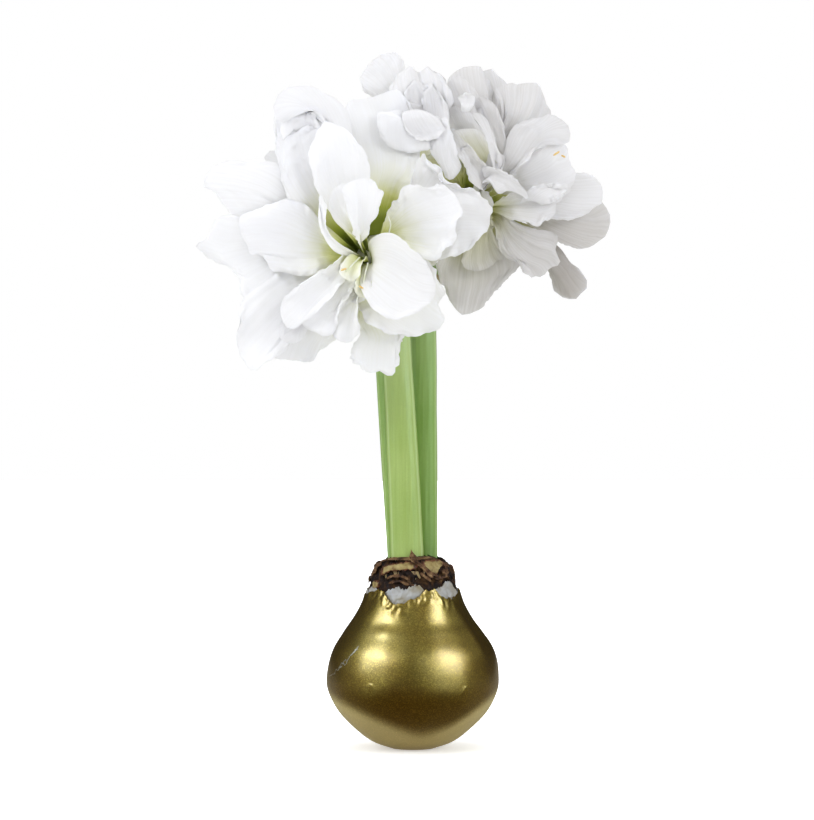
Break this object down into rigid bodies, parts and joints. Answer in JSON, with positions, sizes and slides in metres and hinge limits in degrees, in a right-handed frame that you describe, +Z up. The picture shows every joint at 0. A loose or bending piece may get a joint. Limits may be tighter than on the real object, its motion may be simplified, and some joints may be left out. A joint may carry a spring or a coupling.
{
  "type": "waxed amaryllis bulb",
  "caption": "Flower bulb sealed in gold wax that stands on a flat spot and blooms without soil or water: green stems rise from its cut neck to large white double blooms.",
  "frame": {"origin": "The centre of the small flat spot under the bulb, at the level of the surface that it stands on.", "axes": "+Z is up, along the stems. The front, which faces the viewer, is -Y. +X is to the viewer's right."},
  "size_m": [0.226, 0.1256, 0.382],
  "materials": {
    "wax_gold": "gold metallic wax, glossy, slightly lumpy",
    "wax_white": "satin white wax",
    "tunic_brown": "dry, papery",
    "bulb_flesh": "matt, dried cut scales",
    "stem_green": "satin, finely streaked",
    "spathe_dry": "dry, papery",
    "petal_white": "soft matt, thin and translucent"
  },
  "bodies": {
    "root": {"wax_coat": "wax_gold", "wax_undercoat": "wax_white", "tunic": "tunic_brown", "bulb": "bulb_flesh", "stem_front": "stem_green", "stem_right": "stem_green", "stem_left": "stem_green", "spathe_front": "spathe_dry", "spathe_right": "spathe_dry", "spathe_left": "spathe_dry", "bloom_left": "petal_white", "bloom_right": "petal_white", "bloom_top": "petal_white"}
  },
  "joints": []
}
